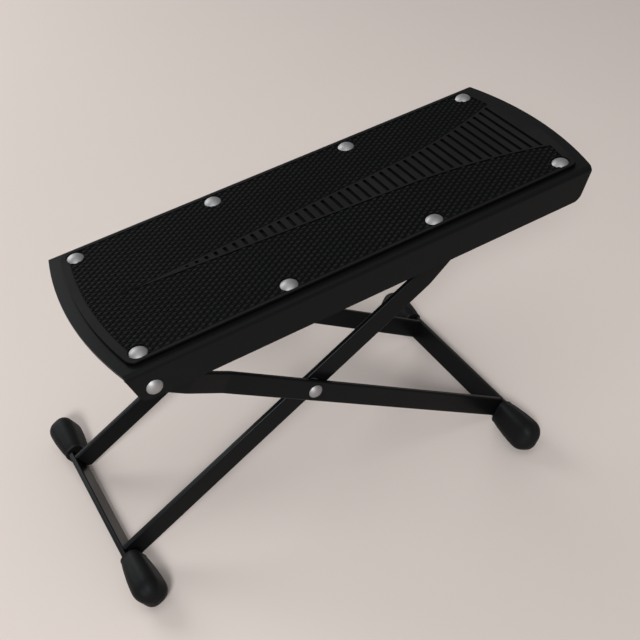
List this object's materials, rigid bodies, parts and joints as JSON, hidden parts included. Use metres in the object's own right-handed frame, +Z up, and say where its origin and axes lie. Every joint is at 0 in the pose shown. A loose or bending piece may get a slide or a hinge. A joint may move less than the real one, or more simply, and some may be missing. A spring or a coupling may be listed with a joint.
{
  "type": "guitar footrest",
  "caption": "Folding footrest for a seated guitar player: a rubber-topped steel plate on crossed flat-bar legs, with a notched rack that sets its height and tilt.",
  "frame": {"origin": "on the floor, below the middle of the whole object's bounding box", "axes": "+X along the plate towards its raised end, +Y across the plate, +Z up"},
  "size_m": [0.2846, 0.1596, 0.1682],
  "materials": {
    "plate_steel": "satin black enamel",
    "leg_steel": "semi-gloss black enamel",
    "mat_rubber": "moulded, knurled",
    "cap_rubber": "matte moulded",
    "rivet_steel": "zinc plated"
  },
  "bodies": {
    "outer_frame": {"outer_bar_near": "leg_steel", "outer_bar_far": "leg_steel", "high_foot_strip": "leg_steel", "high_cap_near": "cap_rubber", "high_cap_far": "cap_rubber", "scissor_rivet_near": "rivet_steel", "scissor_rivet_far": "rivet_steel", "scissor_spacer_near": "rivet_steel", "scissor_spacer_far": "rivet_steel", "scissor_washer_near": "rivet_steel", "scissor_washer_far": "rivet_steel"},
    "inner_frame": {"inner_bar_near": "leg_steel", "inner_bar_far": "leg_steel", "low_foot_strip": "leg_steel", "low_cap_near": "cap_rubber", "low_cap_far": "cap_rubber", "cross_rod": "rivet_steel"},
    "plate": {"pan": "plate_steel", "rubber_mat": "mat_rubber", "mat_rivets": "rivet_steel", "rack_rail_near": "plate_steel", "rack_rail_far": "plate_steel", "pivot_rivet_near": "rivet_steel", "pivot_rivet_far": "rivet_steel", "pivot_spacer_near": "rivet_steel", "pivot_spacer_far": "rivet_steel", "pivot_washer_near": "rivet_steel", "pivot_washer_far": "rivet_steel"}
  },
  "joints": [
    {"name": "frame_fold", "type": "hinge", "parent": "outer_frame", "child": "inner_frame", "pos_m": [-0.02407, 0, 0.07657], "axis": [0, 1, 0], "range_deg": [0, 60.8]},
    {"name": "plate_tilt", "type": "hinge", "parent": "outer_frame", "child": "plate", "pos_m": [-0.11077, 0, 0.12642], "axis": [0, 1, 0], "range_deg": [0, 32.2]}
  ],
  "couplings": [
    {"joint": "plate_tilt", "follows": "frame_fold", "ratio": 0.528}
  ]
}
